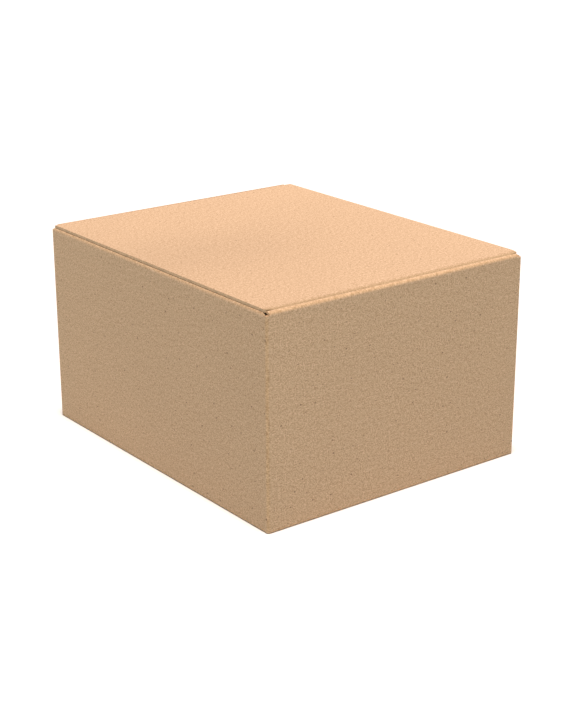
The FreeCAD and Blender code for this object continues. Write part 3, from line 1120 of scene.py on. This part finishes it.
def cut_paper(name, colour, deep):
    """Raw edge of the board, fibrous and a little uneven."""
    g = Graph(name)
    place = g.board_place()
    fibre = g.noise(place, FIBRE_GRAIN, 3.0, 0.6)
    patch = g.noise(place, CUT_PATCH, 2.0, 0.5)
    ground = g.mix(g.spread(fibre, *MIDDLE), deep, colour)
    ground = g.scaled(ground, g.spread(patch, *MIDDLE, 0.88, 1.06))
    g.link(ground, g.shader.inputs["Base Color"])
    g.shader.inputs["Roughness"].default_value = 0.95
    g.shader.inputs["Specular IOR Level"].default_value = 0.15
    bump = g.node("ShaderNodeBump")
    bump.inputs["Strength"].default_value = 0.4
    bump.inputs["Distance"].default_value = 0.2 * MM
    g.link(fibre, bump.inputs["Height"])
    g.link(bump.outputs["Normal"], g.shader.inputs["Normal"])
    return g.material


# Nearly all the light comes from straight above, and the floor throws it back at the walls
FLOOR_TONE = 0.8
SKY = (0.223, 0.355, 0.352)
LAMP = 4.60
LAMP_COLOUR = (1.0, 0.780, 0.716)
LAMP_TOWARD = (-0.033, -0.052, 1.0)
LAMP_SPREAD = 9.0
FLOOR_SIZE = 40.0
BACKDROP_RADIUS = 16.0
BACKDROP_HEIGHT = 12.0
BACKDROP_SIDES = 64
BACKDROP_TONE = (1.0, 1.0, 1.0)


def floor_and_light():
    """A plain white floor under soft light from above."""
    scene = bpy.context.scene
    scene.view_settings.view_transform = "Standard"
    bpy.ops.mesh.primitive_plane_add(size=FLOOR_SIZE)
    floor = bpy.context.object
    floor.name = "floor"
    g = Graph("floor_white")
    g.shader.inputs["Base Color"].default_value = (FLOOR_TONE, FLOOR_TONE, FLOOR_TONE, 1)
    g.shader.inputs["Roughness"].default_value = 0.9
    g.shader.inputs["Specular IOR Level"].default_value = 0.0
    floor.data.materials.append(g.material)
    world = bpy.data.worlds.new("studio")
    world.use_nodes = True
    background = world.node_tree.nodes["Background"]
    background.inputs["Color"].default_value = (*SKY, 1)
    background.inputs["Strength"].default_value = 1.0
    scene.world = world
    sun = bpy.data.lights.new("soft_top", "SUN")
    sun.energy = LAMP
    sun.color = LAMP_COLOUR
    sun.angle = math.radians(LAMP_SPREAD)
    lamp = bpy.data.objects.new("soft_top", sun)
    lamp.rotation_mode = "QUATERNION"
    lamp.rotation_quaternion = Vector(LAMP_TOWARD).to_track_quat("Z", "Y")
    scene.collection.objects.link(lamp)


def backdrop():
    """A pale wall far round the floor, which fills low views and adds no light."""
    work = bmesh.new()
    sizes = {"radius1": BACKDROP_RADIUS, "radius2": BACKDROP_RADIUS, "depth": BACKDROP_HEIGHT}
    bmesh.ops.create_cone(work, cap_ends=False, segments=BACKDROP_SIDES, **sizes)
    mesh = bpy.data.meshes.new("backdrop")
    work.to_mesh(mesh)
    work.free()
    wall = bpy.data.objects.new("backdrop", mesh)
    wall.location.z = BACKDROP_HEIGHT / 2
    bpy.context.scene.collection.objects.link(wall)
    g = Graph("backdrop_pale")
    g.shader.inputs["Base Color"].default_value = (0, 0, 0, 1)
    g.shader.inputs["Specular IOR Level"].default_value = 0.0
    g.shader.inputs["Emission Color"].default_value = (*BACKDROP_TONE, 1)
    g.shader.inputs["Emission Strength"].default_value = 1.0
    g.material.cycles.emission_sampling = "NONE"
    mesh.materials.append(g.material)
    wall.visible_diffuse = False
    wall.visible_glossy = False
    wall.visible_transmission = False
    wall.visible_shadow = False


# Camera of the photograph, worked out from the box's own edges
VIEW_AZIMUTH = 37.167
VIEW_ELEVATION = 19.510
VIEW_ROLL = -0.184
FOCAL_PIXELS = 1577.7
FRAME_WIDTH = 570
SENSOR = 36.0
CLIP = (0.05, 60)
CAMERA_PLACE = (-0.86698, -1.15226, 0.58756)


def photo_camera():
    """The camera at the photograph's place, turned as it is there."""
    data = bpy.data.cameras.new("photo_camera")
    data.sensor_fit = "HORIZONTAL"
    data.sensor_width = SENSOR
    data.lens = FOCAL_PIXELS * SENSOR / FRAME_WIDTH
    data.clip_start, data.clip_end = CLIP
    camera = bpy.data.objects.new("photo_camera", data)
    camera.location = CAMERA_PLACE
    azimuth = math.radians(VIEW_AZIMUTH)
    elevation = math.radians(VIEW_ELEVATION)
    right = Vector((math.cos(azimuth), -math.sin(azimuth), 0))
    ahead = Vector((
        math.cos(elevation) * math.sin(azimuth),
        math.cos(elevation) * math.cos(azimuth),
        -math.sin(elevation),
    ))
    down = ahead.cross(right)
    roll = math.radians(VIEW_ROLL)
    rolled_right = right * math.cos(roll) - down * math.sin(roll)
    rolled_down = right * math.sin(roll) + down * math.cos(roll)
    camera.rotation_mode = "QUATERNION"
    turn = Matrix((rolled_right, -rolled_down, -ahead)).transposed()
    camera.rotation_quaternion = turn.to_quaternion()
    bpy.context.scene.collection.objects.link(camera)
    bpy.context.scene.camera = camera


def main():
    walls = kraft_paper("kraft_walls", 0.0, 1.0, grain_size=1.2 * MM, fineness=0.14, fleck_depth=0.85)
    top = kraft_paper("kraft_top", 0.0, 1.0, grain_size=1.3 * MM, fineness=0.06, fleck_depth=0.7)
    inside = kraft_paper("kraft_inside", 11.0, 0.94, grain_size=1.6 * MM, fineness=0.0, fleck_depth=0.6)
    cut = cut_paper("board_cut", CUT_COLOUR, CUT_DEEP)
    flute = cut_paper("board_flute", FLUTE_COLOUR, FLUTE_DEEP)
    carton_look([walls, inside, cut, flute])
    hinge_look([top, inside, cut, flute])
    lid_look([top, inside, cut, flute])
    floor_and_light()
    backdrop()
    photo_camera()


main()
